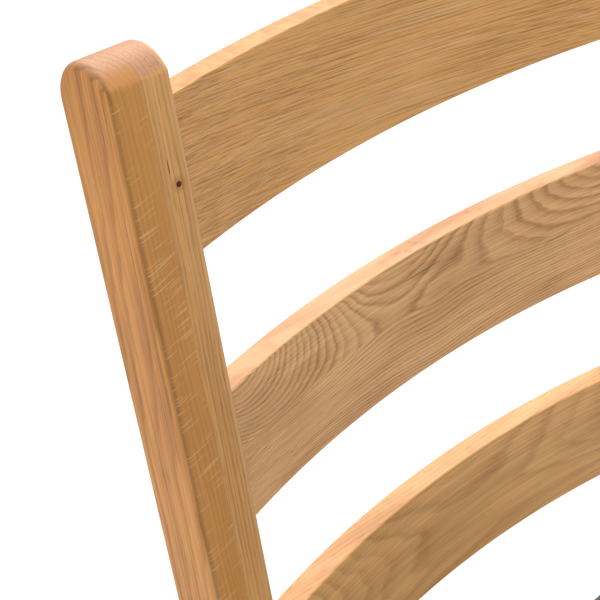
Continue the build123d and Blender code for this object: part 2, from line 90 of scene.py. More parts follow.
# ---- Node graphs -----------------------------------------------------------------------------
class Graph:
    """The node tree of one new material, with a short call for each kind of node."""

    def __init__(self, name):
        self.material = bpy.data.materials.new(name)
        self.material.use_nodes = True
        self.tree = self.material.node_tree
        self.tree.nodes.clear()

    def add(self, kind, inputs, **settings):
        node = self.tree.nodes.new("ShaderNode" + kind)
        for key, value in settings.items():
            setattr(node, key, value)
        for key, value in inputs.items():
            if isinstance(value, bpy.types.NodeSocket):
                self.tree.links.new(value, node.inputs[key])
            else:
                node.inputs[key].default_value = value
        return node

    def math(self, operation, a, b=0.0, c=0.0):
        return self.add("Math", {0: a, 1: b, 2: c}, operation=operation).outputs[0]

    def plus(self, *terms):
        total = terms[0]
        for term in terms[1:]:
            total = self.math("ADD", total, term)
        return total

    def times(self, a, b):
        return self.math("MULTIPLY", a, b)

    def scaled(self, vector, factors):
        return self.add("VectorMath", {0: vector, 1: factors}, operation="MULTIPLY").outputs[0]

    def moved(self, vector, offset):
        return self.add("VectorMath", {0: vector, 1: offset}, operation="ADD").outputs[0]

    def dot(self, vector, direction):
        inputs = {0: vector, 1: direction}
        return self.add("VectorMath", inputs, operation="DOT_PRODUCT").outputs["Value"]

    def oval(self, x, y, x0, y0, half_x=1.0, half_y=1.0):
        """The squared distance from (x0, y0), counted in half widths: 1 on the oval's edge."""
        run = self.math("DIVIDE", self.math("SUBTRACT", x, x0), half_x)
        rise = self.math("DIVIDE", self.math("SUBTRACT", y, y0), half_y)
        return self.plus(self.math("POWER", run, 2.0), self.math("POWER", rise, 2.0))

    def split(self, vector):
        return self.add("SeparateXYZ", {0: vector}).outputs[:]

    def noise(self, vector, size, detail=2.0, rough=0.5, shift=0.0):
        """Soft noise, about 0.5 on average, whose blobs have the size given along each axis."""
        place = self.moved(self.scaled(vector, [1 / s for s in size]), (shift, shift, shift))
        inputs = {"Vector": place, "Scale": 1.0, "Detail": detail, "Roughness": rough}
        return self.add("TexNoise", inputs).outputs[0]

    def span(self, value, low, high, out_low=0.0, out_high=1.0):
        """A value carried from one range to another, smoothly and held at its ends."""
        inputs = {"Value": value, "From Min": low, "From Max": high,
                  "To Min": out_low, "To Max": out_high}
        return self.add("MapRange", inputs, interpolation_type="SMOOTHSTEP").outputs[0]

    def ramp(self, value, stops, mode="LINEAR"):
        """A number or colour looked up along a row of stops."""
        node = self.add("ValToRGB", {0: value})
        node.color_ramp.interpolation = mode
        points = node.color_ramp.elements
        while len(points) < len(stops):
            points.new(0.5)
        for point, (place, shade) in zip(points, stops):
            point.position = place
            point.color = (*shade, 1) if isinstance(shade, tuple) else (shade, shade, shade, 1)
        return node.outputs[0]

    def mix(self, factor, a, b, blend="MIX"):
        """Two colours mixed."""
        node = self.tree.nodes.new("ShaderNodeMix")
        node.data_type = "RGBA"
        node.blend_type = blend
        for socket, value in ((node.inputs[0], factor), (node.inputs[6], a), (node.inputs[7], b)):
            if isinstance(value, bpy.types.NodeSocket):
                self.tree.links.new(value, socket)
            else:
                socket.default_value = value if isinstance(value, float) else (*value, 1)
        return node.outputs[2]

    def bump(self, height, depth, normal=None):
        inputs = {"Height": height, "Distance": depth, "Strength": 1.0}
        if normal:
            inputs["Normal"] = normal
        return self.add("Bump", inputs).outputs[0]

    def place(self, origin=(0, 0, 0), turn=(0, 0, 0)):
        """The surface point in millimetres, in a frame of its own."""
        spot = self.add("TexCoord", {}).outputs["Object"]
        inputs = {"Vector": spot, "Location": origin, "Rotation": turn, "Scale": (MM, MM, MM)}
        return self.add("Mapping", inputs, vector_type="TEXTURE").outputs[0]

    def facing(self, direction):
        """How squarely the surface faces along a direction, either way, from 0 to 1."""
        normal = self.add("TexCoord", {}).outputs["Normal"]
        return self.math("ABSOLUTE", self.dot(normal, direction))

    def finish(self, color, roughness, normal, **constants):
        """Ends the tree in a Principled shader and an output."""
        inputs = {"Base Color": color, "Roughness": roughness, "Normal": normal}
        inputs.update({key.replace("_", " "): value for key, value in constants.items()})
        shader = self.add("BsdfPrincipled", inputs).outputs[0]
        self.add("OutputMaterial", {"Surface": shader})
        return self.material


def srgb(red, green, blue):
    """A linear colour from three screen values of 0 to 255."""
    return tuple(((c / 255 + 0.055) / 1.055) ** 2.4 for c in (red, green, blue))


# ---- Wood ------------------------------------------------------------------------------------
# Pairs of tones are the light wood and the dark wood of the rings. Tints multiply a colour, as painted
# light for how light falls on a face.
OAK = (srgb(230, 172, 104), srgb(146, 88, 34))
OLIVE_OAK = (srgb(244, 188, 122), srgb(160, 100, 46))
DULL_OAK = (srgb(244, 190, 132), srgb(158, 102, 54))
PALE_WOOD = (srgb(226, 194, 150), srgb(186, 142, 96))
END_GRAIN = srgb(186, 138, 110)
# Pale ray flecks and fibres; the left post's marks also use it for a painted highlight along its inner
# front edge.
PALE_FLECK_AND_HIGHLIGHT = srgb(240, 198, 142)
BROWN_BOARD = srgb(200, 136, 66)
# Painted shade along the left post's rounded outer front arris.
OLIVE_ARRIS_SHADE = srgb(120, 78, 30)
PIN_KNOT = srgb(84, 32, 20)
KNOT_HALO = srgb(150, 92, 40)
MINERAL_STREAK = srgb(104, 62, 28)
# Painted sheen: the slats' upward faces are tinted pinker for the overhead light's sheen on them.
TOP_PAINTED_SHEEN_TINT = (0.87, 0.84, 0.94)
# Painted light: the left post's side faces are tinted deeper orange for how the light falls on them.
SIDE_PAINTED_LIGHT_TINT = (1.0, 0.86, 0.64)

# Millimetres in a board's own grain frame, along and across the grain.
ARCH_TIP_RING = 35.3        # the ring distance at which the two sets of arches meet
ARCH_SOFTENING = 30.0       # how wide the turn is from one set to the other
ARCH_SHIFT_REACH = 60.0     # how far from the middle the arches' height stops shifting
RING_STOPS = ((0.0, 0.8), (0.12, 1.0), (0.34, 0.45), (0.6, 0.1), (0.86, 0.0), (1.0, 0.8))


def euler_of(along, across):
    """The rotation whose x axis runs along the grain and whose y axis runs across it."""
    return Matrix((along, across, along.cross(across))).transposed().to_euler()


def round_pith(y0, z0, slope=0.0):
    """Growth rings round a line along the grain, a distance away, that the board slowly leaves."""
    def field(g, x, y, z):
        distance = g.math("SQRT", g.oval(y, z, y0, z0))
        return g.plus(distance, g.times(x, slope))
    return field


def arched(z0, shift, tilt, squash, rise, drift, low_edge, low_rate, right_share=1.0):
    """Rings that a bowed board cuts into arches, whose tips point at its middle from both ends.

    z0 is the arches' height at the middle of the board, shift moves it between the two ends, and
    tilt raises it outwards. Below low_edge the rings crowd together. Right of the middle there are
    right_share as many rings.
    """
    def field(g, x, y, z):
        softened = g.math("SQRT", g.plus(g.math("POWER", x, 2.0), ARCH_SOFTENING ** 2))
        outwards = g.plus(softened, -ARCH_SOFTENING)
        held = g.math("MINIMUM", g.math("MAXIMUM", x, -ARCH_SHIFT_REACH), ARCH_SHIFT_REACH)
        axis = g.plus(g.times(outwards, tilt), g.times(held, shift), z0)
        height = g.times(g.math("SUBTRACT", z, axis), squash)
        ring = g.math("SQRT", g.plus(g.math("POWER", y, 2.0), g.math("POWER", height, 2.0)))
        below = g.math("MAXIMUM", g.math("SUBTRACT", low_edge, z), 0.0)
        turned = g.plus(ring, g.times(outwards, rise), g.times(x, drift), -ARCH_TIP_RING)
        return g.plus(g.times(turned, g.span(x, -10.0, 30.0, 1.0, right_share)),
                      g.times(below, low_rate))
    return field


def wood(name, origin, along, across, rings, width=2.4, wander=2.0, ripple=0.4, tones=OAK,
         contrast=1.0, fibre=1.0, fineness=0.9, deep=1.0, seed=0.0, calm_and_lit_facing=None, calm_share=0.6, painted_light_tint=None,
         edit=None):
    """Solid wood: growth rings, pores, fibres and rays through the piece, cut by its surface.

    The grain's own frame has x along the grain, y across and z across, in millimetres from the
    origin. rings gives the ring field in that frame, and width is one ring in it. deep stretches
    pores and fibres along y, for a bowed board. fineness is a fibre's width. The faces that face
    along the calm direction show calm_share of the figure, and their colour is multiplied by the
    tint, which is painted light: the tone those faces take from how light falls on them. edit may
    change the colour at the end.
    """
    g = Graph(name)
    q = g.place(origin, euler_of(along, across))
    x, y, z = g.split(q)
    slow = g.math("SUBTRACT", g.noise(q, (150, 24, 24), 2.0, shift=seed), 0.5)
    quick = g.math("SUBTRACT", g.noise(q, (34, 6, 6), 2.0, shift=seed + 7), 0.5)
    field = g.plus(rings(g, x, y, z), g.times(slow, 4 * wander), g.times(quick, 4 * ripple))
    count = g.math("DIVIDE", field, width)
    porous = g.ramp(g.math("FRACT", count), RING_STOPS, "EASE")
    year = g.plus(g.math("FLOOR", count), seed)
    change = g.add("TexWhiteNoise", {"W": year}, noise_dimensions="1D").outputs[0]
    band = g.times(porous, g.span(change, 0.0, 1.0, 0.4, 1.0))
    pores = g.span(g.noise(q, (9, 0.42 * deep, 0.42), 1.0, shift=seed + 3), 0.57, 0.70)
    pores = g.times(pores, g.plus(g.times(porous, 0.7), 0.3))
    fibres = g.noise(q, (110, 1.2 * fineness * deep, fineness), 3.0, 0.62, shift=seed + 11)
    shade = g.span(fibres, 0.32, 0.68, -0.26 * fibre, 0.26 * fibre)
    cloud = g.span(g.noise(q, (120, 28, 28), 2.0, shift=seed + 19), 0.3, 0.7, -0.12, 0.12)
    figure = g.plus(g.times(band, 0.55 * contrast), g.times(pores, 0.34 * contrast), shade)
    if calm_and_lit_facing:
        calm_and_lit_mask = g.span(g.facing(calm_and_lit_facing), 0.75, 0.95)
        figure = g.times(figure, g.span(calm_and_lit_mask, 0.0, 1.0, 1.0, calm_share))
    dark = g.plus(figure, cloud, 0.2)
    dark = g.math("MINIMUM", g.math("MAXIMUM", dark, 0.0), 1.0)
    color = g.mix(dark, tones[0], tones[1])
    glow = g.span(fibres, 0.54, 0.63, 0.0, min(0.85, 0.4 * fibre))
    if calm_and_lit_facing:
        glow = g.times(glow, g.math("SUBTRACT", 1.0, calm_and_lit_mask))
    color = g.mix(glow, color, PALE_FLECK_AND_HIGHLIGHT)
    # Painted light: faces along the calm direction are tinted for how light falls on them.
    if painted_light_tint:
        color = g.mix(calm_and_lit_mask, color, painted_light_tint, "MULTIPLY")
    end = g.span(g.facing(along), 0.28, 0.62)
    speckle = g.span(g.noise(q, (9, 0.8, 0.8), 2.0, shift=seed + 31), 0.5, 0.72, 0.0, 0.6)
    end_dark = g.math("MAXIMUM", speckle, g.times(band, 0.35))
    color = g.mix(g.times(end, 0.8), color, g.mix(end_dark, END_GRAIN, tones[1]))
    if edit:
        color = edit(g, q, color)
    height = g.plus(g.times(porous, -0.35), g.times(pores, -1.0), g.times(fibres, 0.4))
    rough = g.plus(g.span(fibres, 0.2, 0.8, 0.47, 0.57), g.times(pores, 0.15), g.times(end, 0.12))
    return g.finish(color, rough, g.bump(height, 0.035 * MM), Specular_IOR_Level=0.3,
                    Coat_Weight=0.1, Coat_Roughness=0.32)


# ---- Mesh building ---------------------------------------------------------------------------
def rounded_outline(points, radii, step=radians(4)):
    """A closed outline with its corners rounded: (point, outward normal) pairs, in order.

    The points are 2-D and run anticlockwise.
    """
    outline = []
    count = len(points)
    for i, radius in enumerate(radii):
        before, here, after = (Vector(points[(i + k) % count]) for k in (-1, 0, 1))
        way_in, way_out = (here - before).normalized(), (after - here).normalized()
        turn = atan2(way_in.x * way_out.y - way_in.y * way_out.x, way_in.dot(way_out))
        side = 1 if turn > 0 else -1
        start = here - way_in * radius * tan(abs(turn) / 2)
        centre = start + Vector((-way_in.y, way_in.x)) * radius * side
        steps = max(2, ceil(abs(turn) / step))
        for k in range(steps + 1):
            angle = turn * k / steps
            spoke = Matrix.Rotation(angle, 2) @ (start - centre)
            outline.append((centre + spoke, spoke.normalized() * side))
    return outline


def skin(name, loops, closed=False):
    """A solid whose surface runs through loops of points, with flat ends unless it is closed."""
    mesh = bmesh.new()
    rings = [[mesh.verts.new(point) for point in loop] for loop in loops]
    pairs = list(zip(rings, rings[1:])) + ([(rings[-1], rings[0])] if closed else [])
    for one, two in pairs:
        for i in range(len(one)):
            j = (i + 1) % len(one)
            mesh.faces.new((one[i], one[j], two[j], two[i]))
    if not closed:
        mesh.faces.new(rings[0][::-1])
        mesh.faces.new(rings[-1])
    bmesh.ops.recalc_face_normals(mesh, faces=mesh.faces)
    return new_piece(name, mesh)


def new_piece(name, mesh):
    """A Blender object from a finished bmesh, smooth shaded."""
    data = bpy.data.meshes.new(name)
    mesh.to_mesh(data)
    mesh.free()
    for face in data.polygons:
        face.use_smooth = True
    piece = bpy.data.objects.new(name, data)
    bpy.context.scene.collection.objects.link(piece)
    return piece


def crisp(piece):
    """Keeps the flats of a hard piece flat beside its rounded edges."""
    weighted = piece.modifiers.new("flats", "WEIGHTED_NORMAL")
    weighted.keep_sharp = True
    weighted.weight = 100


def settle(piece, material, slot, *nodes):
    """Gives a piece its material, and puts it in the place of CAD nodes. The slot argument is not used.
    """
    piece.data.materials.clear()
    piece.data.materials.append(material)
    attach(piece, BODY)
    if nodes:
        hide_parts(*nodes)


# ---- Back posts ------------------------------------------------------------------------------
def back_point(drop, behind):
    """A point (y, z) of the back: a drop down the post from the crown, behind its front face."""
    point = datum + back_rearward * behind - back_up * drop
    return (point.y, point.z)


def post_outline():
    """The side profile of a back post, as (y, z) points with their outward normals."""
    front_drop = CROWN_RADIUS + crown_back * tan(CROWN_SLOPE) - CROWN_RADIUS / cos(CROWN_SLOPE)
    foot_y = post_front_y + (HOCK_Z - glide_top_z) * tan(REAR_RAKE)
    knee_shift = POST_DEPTH * tan(BACK_LEAN / 2)
    corners = [
        ((foot_y, glide_top_z), FOOT_CORNER_ROUND),
        ((foot_y + REAR_FOOT_DEPTH, glide_top_z), FOOT_CORNER_ROUND),
        ((post_back_y, HOCK_Z), HOCK_RADIUS - POST_DEPTH),
        ((post_back_y, KNEE_Z - knee_shift), KNEE_RADIUS + POST_DEPTH),
        (back_point(front_drop - POST_DEPTH * tan(CROWN_SLOPE), POST_DEPTH), CROWN_RADIUS),
        (back_point(front_drop, 0), CROWN_FRONT_ROUND),
        ((post_front_y, KNEE_Z), KNEE_RADIUS),
        ((post_front_y, HOCK_Z), HOCK_RADIUS),
    ]
    points, radii = zip(*corners)
    return rounded_outline(points, radii)


def back_post(name, side):
    """A back post: its side profile, thickened across the chair, with every long edge rounded."""
    outline = post_outline()
    steps = 7
    half = (half_width - post_inner_x) / 2
    middle = side * (half_width + post_inner_x) / 2
    foot_fade = 14 * MM
    loops = []
    for face in (-1, 1):
        for k in range(steps + 1) if face < 0 else range(steps, -1, -1):
            angle = pi / 2 * k / steps
            loop = []
            for point, normal in outline:
                climb = min(1.0, (point.y - glide_top_z) / foot_fade)
                rounding = (0.8 * MM) * (1 - climb) + EDGE_ROUND * climb
                inset = rounding * (1 - sin(angle))
                spot = point - normal * inset
                x = middle + face * (half - rounding * (1 - cos(angle)))
                loop.append((x, spot.x, spot.y))
            loops.append(loop)
    piece = skin(name, loops)
    crisp(piece)
    return piece


# ---- Slats -----------------------------------------------------------------------------------
def slat_depth(x, lift):
    """How far behind the posts' front faces a bowed surface lies, lifted off the slat's front."""
    radius = bow_radius + lift
    return SLAT_INSET + SLAT_BOW - bow_radius + sqrt(radius ** 2 - x ** 2)


def slat_section(x, front, rear, drop, height, rounding):
    """A loop round a slat at one place along it, with rounded corners."""
    corners = [(slat_depth(x, front), -drop - height), (slat_depth(x, rear), -drop - height),
               (slat_depth(x, rear), -drop), (slat_depth(x, front), -drop)]
    outline = rounded_outline(corners, [rounding] * 4, radians(15))
    return [datum + Vector((x, 0, 0)) + back_rearward * p.x + back_up * p.y for p, _ in outline]


def slat(name, drop, height):
    """A bowed slat with a tenon at each end."""
    board = (0.0, SLAT_THICKNESS, drop, height, SLAT_EDGE)
    cheek = (SLAT_THICKNESS - SLAT_TENON_THICKNESS) / 2
    tongue = (cheek, SLAT_THICKNESS - cheek, drop + SLAT_TENON_SHOULDER,
              height - 2 * SLAT_TENON_SHOULDER, SLAT_EDGE / 2)
    reach = post_inner_x + SLAT_TENON_LENGTH
    steps = 96
    loops = [slat_section(-reach, *tongue), slat_section(-post_inner_x, *tongue)]
    for k in range(steps + 1):
        loops.append(slat_section(post_inner_x * (2 * k / steps - 1), *board))
    loops += [slat_section(post_inner_x, *tongue), slat_section(reach, *tongue)]
    piece = skin(name, loops)
    crisp(piece)
    return piece


# ---- Figure of the back's wood ---------------------------------------------------------------
SLAT_GRAIN_FALL = {"upper": 0.09, "middle": 0.0, "lower": 0.0}  # towards the right, per unit
SLAT_FIBRE_DEPTH = 18.0     # how far the fibres of a bowed slat are stretched into it

# The rest is in millimetres. On the middle slat, right of its middle and up from the crown.
STREAKS = (                 # x, z, half length, half height, rise along it
    (-8.0, -201.0, 22.0, 0.9, 0.0),
    (106.0, -225.0, 15.0, 0.7, 0.07),
)
# On the left post, up from the crown and in from the outer face.
GLUE_LINE = 19.2
RAY_TURN = radians(15)
KNOT_UP, KNOT_IN = -65.9, 28.6
KNOT_RADIUS = 1.8
KNOT_DEPTH = 12.0
POST_STREAK = (-55.9, 24.7, 4.5, 0.55)      # up, in, half length, half width


def left_post_rings(g, x, y, z):
    """Two boards glued side by side: one cut across its rings, and one with straight lines."""
    outer = g.plus(g.times(y, 0.8), g.times(z, 0.26), g.times(x, 0.02))
    inner = g.plus(g.times(y, 1.05), g.times(z, 0.25), g.times(x, -0.01))
    inside = g.math("GREATER_THAN", y, GLUE_LINE)
    return g.plus(g.times(outer, g.math("SUBTRACT", 1.0, inside)), g.times(inner, inside), 400.0)


def left_post_marks(g, q, color):
    """The left post's brown front with its slanting rays, its pale inner board and its pin knot, with
    painted shade along the outer front arris and a painted highlight along the inner front edge.
    """
    x, y, z = g.split(q)
    front = g.span(z, 9.0, 2.0)
    inside = g.span(y, GLUE_LINE - 0.5, GLUE_LINE + 0.5)
    brown = g.times(g.times(front, g.math("SUBTRACT", 1.0, inside)), g.span(y, 0.8, 2.4))
    color = g.mix(g.times(brown, 0.7), color, BROWN_BOARD)
    # Painted shade: a darker olive line along the rounded outer front arris.
    arris = g.times(g.span(y, 3.6, 1.6), g.times(g.span(y, 0.2, 1.4), front))
    color = g.mix(g.times(arris, 0.55), color, OLIVE_ARRIS_SHADE)
    turn = {"Vector": q, "Angle": RAY_TURN, "Axis": (0, 0, 1)}
    tilted = g.add("VectorRotate", turn).outputs[0]
    rays = g.span(g.noise(tilted, (1.0, 30, 14), 1.0, shift=5.0), 0.60, 0.70)
    rays = g.times(rays, g.span(x, -8.0, -16.0))
    color = g.mix(g.times(g.times(rays, brown), 0.5), color, PALE_FLECK_AND_HIGHLIGHT)
    # Painted highlight: the rounded inner front edge and inner face are lightened as if catching the
    # light.
    color = g.mix(g.times(g.span(y, 32.0, 35.0), 0.35), color, PALE_FLECK_AND_HIGHLIGHT)
    from_knot = g.math("SQRT", g.oval(x, y, KNOT_UP, KNOT_IN))
    on_front = g.math("LESS_THAN", z, KNOT_DEPTH)
    knot = g.times(g.span(from_knot, KNOT_RADIUS, KNOT_RADIUS * 0.72), on_front)
    halo = g.times(g.span(from_knot, KNOT_RADIUS * 3, KNOT_RADIUS), on_front)
    color = g.mix(g.times(halo, 0.35), color, KNOT_HALO)
    color = g.mix(knot, color, PIN_KNOT)
    streak = g.span(g.oval(x, y, *POST_STREAK), 1.0, 0.3)
    streak = g.times(streak, g.math("LESS_THAN", z, KNOT_DEPTH / 3))
    return g.mix(g.times(streak, 0.6), color, PIN_KNOT)


def middle_slat_marks(g, q, color):
    """A dark streak where the two sets of arches meet, and a short dash right of it."""
    x, _, z = g.split(q)
    for at_x, at_z, half_length, half_height, rise in STREAKS:
        level = g.math("SUBTRACT", z, g.times(g.math("SUBTRACT", x, at_x), rise))
        away = g.oval(x, level, at_x, at_z, half_length, half_height)
        color = g.mix(g.times(g.span(away, 1.0, 0.1), 0.6), color, MINERAL_STREAK)
    return color


def build_back():
    """The two posts and three slats."""
    across = Vector((1, 0, 0))
    posts = {
        # The left post's side faces take a painted light tint.
        "left": (-1, dict(rings=left_post_rings, width=2.6, wander=2.4, seed=3.3, contrast=0.85,
                          calm_and_lit_facing=across, calm_share=0.65, painted_light_tint=SIDE_PAINTED_LIGHT_TINT, edit=left_post_marks)),
        "right": (1, dict(rings=round_pith(-150, 90, 0.014), width=2.5, wander=1.5, seed=13.7)),
    }
    for name, (side, look) in posts.items():
        outer = Vector((side * half_width, datum_y, datum_z))
        post = back_post("post_" + name, side)
        material = wood("oak_post_" + name, outer, back_up, across * -side, **look)
        settle(post, material, "oak", "back_post_" + name)
    looks = {
        "upper": dict(rings=round_pith(-60, -305), width=2.0, wander=0.5, ripple=0.08, seed=1.3,
                      fibre=2.3, fineness=0.62, contrast=0.62, calm_share=0.3),
        "middle": dict(rings=arched(-231, 0.25, 0.6, 0.3, 0.048, -0.026, -222, 0.2, 0.5), width=0.62,
                       wander=0.2, ripple=0.08, seed=4.1, contrast=0.95, fibre=1.1, fineness=0.7,
                       tones=DULL_OAK, edit=middle_slat_marks),
        "lower": dict(rings=arched(-395, 0.1, 0.3, 0.45, 0.03, 0.02, -405, 0.1), width=3.2,
                      wander=1.6, ripple=0.25, seed=8.6, contrast=0.6, fineness=0.8, tones=OLIVE_OAK),
    }
    for name, look in looks.items():
        piece = slat("slat_" + name, SLAT_DROPS[name], SLAT_HEIGHTS[name])
        along = (across - back_up * SLAT_GRAIN_FALL[name]).normalized()
        # The slats' upward faces take a painted sheen tint.
        material = wood("oak_slat_" + name, datum, along, back_rearward, deep=SLAT_FIBRE_DEPTH,
                        calm_and_lit_facing=back_up, painted_light_tint=TOP_PAINTED_SHEEN_TINT, **look)
        settle(piece, material, "oak", "back_slat_" + name)


# ---- Seat pad --------------------------------------------------------------------------------
SEAT_CORNER_ROUND = 14.0 * MM
SEAT_NOTCH_ROUND = 4.7 * MM
SEAT_POST_GAP = 2.0 * MM
PAD_LEVELS = (              # millimetres above the pad's underside, and inset from its outline
    (0.0, 1.2), (1.2, 0.4), (4.0, 0.3), (32.0, 0.4),
    (37.0, 1.5), (40.5, 4.0), (42.5, 8.5), (43.5, 15.0),
)
VOXEL = 5.0 * MM
PAD_PRESSURE = 4.0
PAD_FRAMES = 20
PAD_SWELL = 10.0 * MM       # the simulated swelling is scaled down until no point moves further
PINNED_BELOW = 14.0 * MM    # above the pad's underside, where the leather lies on the board
LEATHER_INSET = 0.2 * MM
DRAWN_IN_BELOW = 26.0 * MM  # above the pad's underside
DRAWN_IN_BLEND = 10.0 * MM
EDGE_REACH = 6.0 * MM       # from the outline, for what lies above the fold
FOLD_REACH = 3.5 * MM       # from the outline, for what lies in the underside
UNDERSIDE = 1.0 * MM        # lower than this counts as the underside
FOLD_HEIGHT = 5.0 * MM      # the leather folds under the board sharply within this height
PLEAT_DEPTH = 1.8 * MM
PLEAT_WIDTH = 2.2 * MM
PLEAT_OFFSETS = (-9.0 * MM, 9.0 * MM)
SLACK = 0.8 * MM            # how uneven the top of the leather is
CLOTH_SAG = 2.6 * MM
CLOTH_PUCKER = 0.35 * MM
CLOTH_DROP = 0.3 * MM       # from the top of the CAD cloth to the middle of the sheet
CLOTH_STEPS = 72


def seat_outline(inset):
    """The seat seen from above, inset all round, with rear notches for the back posts."""
    low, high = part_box("seat_cover")
    side_x, front_y, rear_y = high.x - inset, low.y + inset, high.y - inset
    notch_x = post_inner_x - SEAT_POST_GAP - inset
    notch_y = post_front_y - SEAT_POST_GAP - inset
    corners = [(-side_x, front_y), (side_x, front_y), (side_x, notch_y), (notch_x, notch_y),
               (notch_x, rear_y), (-notch_x, rear_y), (-notch_x, notch_y), (-side_x, notch_y)]
    front = max(SEAT_CORNER_ROUND - inset * 0.3, 2 * MM)
    small = SEAT_NOTCH_ROUND
    radii = [front, front, small, small, small, small, small, small]
    return [point for point, _ in rounded_outline(corners, radii, radians(10))]


def evaluated(piece):
    """Applies every modifier of a piece."""
    shape = piece.evaluated_get(bpy.context.evaluated_depsgraph_get())
    data = bpy.data.meshes.new_from_object(shape)
    piece.modifiers.clear()
    piece.data = data


def simulated(piece, low_z):
    """Swells a pad by cloth simulation, held where the cover lies on the board."""
    rest = [v.co.copy() for v in piece.data.vertices]
    held = piece.vertex_groups.new(name="held")
    for i, point in enumerate(rest):
        free = (point.z - low_z - PINNED_BELOW) / PINNED_BELOW
        held.add([i], 1.0 - min(1.0, max(0.0, free)), "REPLACE")
    cloth = piece.modifiers.new("cloth", "CLOTH")
    cloth.settings.quality = 6
    cloth.settings.mass = 0.4
    cloth.settings.tension_stiffness = cloth.settings.compression_stiffness = 12
    cloth.settings.bending_stiffness = 1.5
    cloth.settings.use_pressure = True
    cloth.settings.uniform_pressure_force = PAD_PRESSURE
    cloth.settings.effector_weights.gravity = 0
    cloth.settings.vertex_group_mass = "held"
    cloth.point_cache.frame_start, cloth.point_cache.frame_end = 1, PAD_FRAMES
    for step in range(1, PAD_FRAMES + 1):
        bpy.context.scene.frame_set(step)
    evaluated(piece)
    bpy.context.scene.frame_set(1)
    largest = max((v.co - start).length for v, start in zip(piece.data.vertices, rest))
    share = min(1.0, PAD_SWELL / largest)
    for vertex, start in zip(piece.data.vertices, rest):
        vertex.co = start.lerp(vertex.co, share)


def lay_on_board(piece, low_z):
    """Draws the lower part of the pad against the board's edge, where the leather is pulled tight."""
    outline = [Vector(point) for point in seat_outline(LEATHER_INSET)]
    sides = list(zip(outline, outline[1:] + outline[:1]))
    for vertex in piece.data.vertices:
        lift = vertex.co.z - low_z
        if lift > DRAWN_IN_BELOW:
            continue
        spot = vertex.co.xy
        nearest, gap = None, EDGE_REACH
        for start, end in sides:
            side = end - start
            share = min(1.0, max(0.0, (spot - start).dot(side) / side.length_squared))
            place = start + side * share
            if (place - spot).length < gap:
                nearest, gap = place, (place - spot).length
        if nearest and (lift > UNDERSIDE or gap < FOLD_REACH):
            pull = min(1.0, (DRAWN_IN_BELOW - lift) / DRAWN_IN_BLEND)
            vertex.co.xy = spot.lerp(nearest, pull)
            vertex.co.z = low_z + lift * min(1.0, lift / FOLD_HEIGHT)


def pleat(pad, low, high):
    """Presses two pleats into each front corner, above the board and below the rim."""
    corner_x, corner_y = high.x - SEAT_CORNER_ROUND, low.y + SEAT_CORNER_ROUND
    middle_y = (low.y + high.y) / 2
    nearby = -0.5 * SEAT_CORNER_ROUND
    for vertex in pad.data.vertices:
        point = vertex.co
        lift = (point.z - low.z) / (high.z - low.z)
        out = Vector((abs(point.x) - corner_x, corner_y - point.y))
        if out.x <= nearby or out.y <= nearby or lift <= 0.1:
            continue
        arc = (atan2(out.y, out.x) - pi / 4) * SEAT_CORNER_ROUND
        dent = sum(PLEAT_DEPTH * max(0.0, 1 - abs(arc - at) / PLEAT_WIDTH) for at in PLEAT_OFFSETS)
        fade = min(1.0, (1.0 - lift) * 3.0) * min(1.0, max(0.0, (lift - 0.28) * 5.0))
        inwards = Vector((-point.x, middle_y - point.y, 0)).normalized()
        vertex.co += inwards * dent * fade


def slacken(pad, low, high):
    """Makes the top of the leather a little uneven."""
    for vertex in pad.data.vertices:
        lift = (vertex.co.z - low.z) / (high.z - low.z)
        slack = noise.noise(vertex.co * 22.0) * 0.5 + noise.noise(vertex.co * 60.0) * 0.25
        vertex.co.z += slack * SLACK * min(1.0, max(0.0, lift - 0.5) * 4)


def seat_pad():
    """The leather seat pad: remeshed, swelled, laid on its board, then pleated and slackened."""
    low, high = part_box("seat_cover")
    loops = [[(x, y, low.z + lift * MM) for x, y in seat_outline(inset * MM)]
             for lift, inset in PAD_LEVELS]
    pad = skin("seat_pad", loops)
    remesh = pad.modifiers.new("remesh", "REMESH")
    remesh.mode = "VOXEL"
    remesh.voxel_size = VOXEL
    remesh.use_smooth_shade = True
    evaluated(pad)
    simulated(pad, low.z)
    finer = pad.modifiers.new("finer", "SUBSURF")
    finer.levels = finer.render_levels = 1
    evaluated(pad)
    lay_on_board(pad, low.z)
    pleat(pad, low, high)
    slacken(pad, low, high)
    for face in pad.data.polygons:
        face.use_smooth = True
    return pad


def leather():
    """Dark brown leather: pebbled grain, fine creases, and a worn, paler and smoother rim."""
    g = Graph("seat_leather")
    q = g.place()
    cells = {"Vector": q, "Scale": 0.8, "Smoothness": 0.6}
    pebble = g.add("TexVoronoi", cells, feature="SMOOTH_F1").outputs[0]
    fine = g.noise(q, (0.5, 0.5, 0.5), 3.0, 0.6)
    patch = g.noise(q, (45, 45, 45), 3.0, shift=4.0)
    crease = g.noise(q, (5, 5, 5), 4.0, 0.65, shift=9.0)
    folds = g.span(g.math("ABSOLUTE", g.math("SUBTRACT", crease, 0.5)), 0.0, 0.03)
    _, _, z = g.split(q)
    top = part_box("seat_cover")[1].z / MM
    rim = g.times(g.span(z, top - 26, top - 14), g.span(z, top, top - 10))
    worn = g.times(rim, g.span(patch, 0.35, 0.75))
    color = g.mix(g.span(patch, 0.25, 0.75), srgb(62, 43, 34), srgb(74, 53, 42))
    color = g.mix(g.span(pebble, 0.25, 0.75, 0.0, 0.45), color, srgb(48, 33, 26))
    color = g.mix(g.times(worn, 0.3), color, srgb(104, 78, 62))
    height = g.plus(g.times(pebble, -0.8), g.times(fine, 0.3), g.times(folds, 0.35))
    rough = g.plus(g.span(pebble, 0.2, 0.8, 0.46, 0.62), g.times(worn, -0.1))
    return g.finish(color, rough, g.bump(height, 0.25 * MM), Specular_IOR_Level=0.5, Sheen_Weight=0.08)


